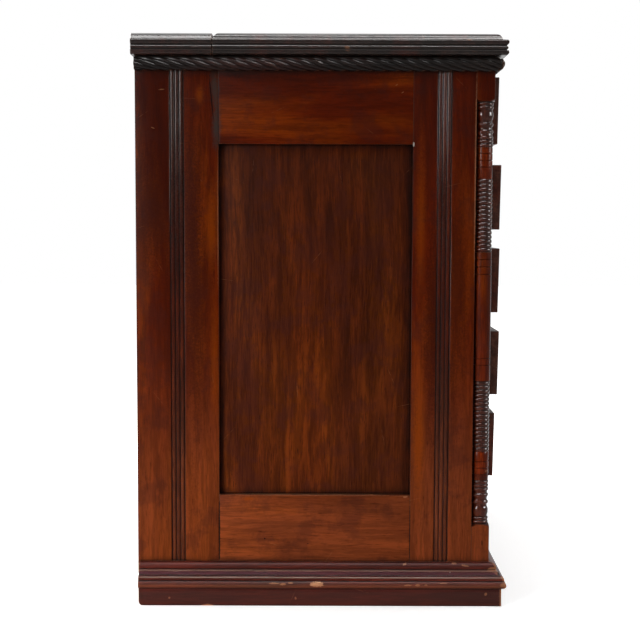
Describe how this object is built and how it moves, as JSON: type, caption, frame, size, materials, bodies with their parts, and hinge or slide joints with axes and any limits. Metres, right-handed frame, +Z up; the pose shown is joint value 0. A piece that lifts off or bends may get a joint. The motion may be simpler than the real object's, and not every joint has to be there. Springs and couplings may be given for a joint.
{
  "type": "spool cabinet",
  "caption": "Lift-top wooden spool cabinet with panelled sides, ring-turned corner columns, a rope moulding under the hinged lid and divided drawers below a shallow well.",
  "frame": {"origin": "on the floor under the middle of the cabinet's overall box", "axes": "+Z up, -Y is the front with the drawers, +X to the right of someone standing before the drawers"},
  "size_m": [0.703, 0.5, 0.7621],
  "materials": {
    "red_brown_wood": "old shellac over red-brown stain",
    "dark_panel_wood": "old shellac over dark brown stain",
    "turned_wood": "turned, shellacked, rubbed on the crowns",
    "top_wood": "near-black polished top",
    "ebonised_wood": "carved and ebonised",
    "front_wood": "dark polished border round a brown field",
    "base_wood": "dark brown, scuffed",
    "inner_wood": "unfinished, aged",
    "back_wood": "unfinished, aged, dusty",
    "brass": "dull old brass"
  },
  "bodies": {
    "case": {"left_rear_stile": "red_brown_wood", "left_front_stile": "red_brown_wood", "left_top_rail": "red_brown_wood", "left_bottom_rail": "red_brown_wood", "left_front_post": "red_brown_wood", "left_side_panel": "dark_panel_wood", "left_corner_column": "turned_wood", "left_base": "base_wood", "left_rope": "ebonised_wood", "right_rear_stile": "red_brown_wood", "right_front_stile": "red_brown_wood", "right_top_rail": "red_brown_wood", "right_bottom_rail": "red_brown_wood", "right_front_post": "red_brown_wood", "right_side_panel": "dark_panel_wood", "right_corner_column": "turned_wood", "right_base": "base_wood", "right_rope": "ebonised_wood", "front_top_rail": "red_brown_wood", "drawer_rails": "red_brown_wood", "front_apron": "red_brown_wood", "well_front": "front_wood", "well_bottom": "inner_wood", "case_bottom": "inner_wood", "hinge_rail": "inner_wood", "drawer_runners": "inner_wood", "drawer_stops": "inner_wood", "back_boards": "back_wood", "base_front": "base_wood", "base_back": "base_wood", "rope_front": "ebonised_wood", "rear_top_board": "top_wood", "hinge_case_leaves": "brass", "hinge_pins": "brass"},
    "lid": {"lid_board": "top_wood", "hinge_lid_leaves": "brass"},
    "drawer_1": {"drawer_1_front": "front_wood", "drawer_1_sides": "inner_wood", "drawer_1_back": "inner_wood", "drawer_1_bottom": "inner_wood", "drawer_1_dividers": "inner_wood", "drawer_1_pulls": "brass"},
    "drawer_2": {"drawer_2_front": "front_wood", "drawer_2_sides": "inner_wood", "drawer_2_back": "inner_wood", "drawer_2_bottom": "inner_wood", "drawer_2_dividers": "inner_wood", "drawer_2_pulls": "brass"},
    "drawer_3": {"drawer_3_front": "front_wood", "drawer_3_sides": "inner_wood", "drawer_3_back": "inner_wood", "drawer_3_bottom": "inner_wood", "drawer_3_dividers": "inner_wood", "drawer_3_pulls": "brass"},
    "drawer_4": {"drawer_4_front": "front_wood", "drawer_4_sides": "inner_wood", "drawer_4_back": "inner_wood", "drawer_4_bottom": "inner_wood", "drawer_4_dividers": "inner_wood", "drawer_4_pulls": "brass"}
  },
  "joints": [
    {"name": "lid_hinge", "type": "hinge", "parent": "case", "child": "lid", "pos_m": [0, 0.14385, 0.759], "axis": [-1, 0, 0], "range_deg": [0, 100]},
    {"name": "drawer_1_slide", "type": "slide", "parent": "case", "child": "drawer_1", "axis": [0, -1, 0], "range_m": [-0.0046, 0.33]},
    {"name": "drawer_2_slide", "type": "slide", "parent": "case", "child": "drawer_2", "axis": [0, -1, 0], "range_m": [-0.0038, 0.33]},
    {"name": "drawer_3_slide", "type": "slide", "parent": "case", "child": "drawer_3", "axis": [0, -1, 0], "range_m": [-0.0047, 0.33]},
    {"name": "drawer_4_slide", "type": "slide", "parent": "case", "child": "drawer_4", "axis": [0, -1, 0], "range_m": [0, 0.33]}
  ]
}
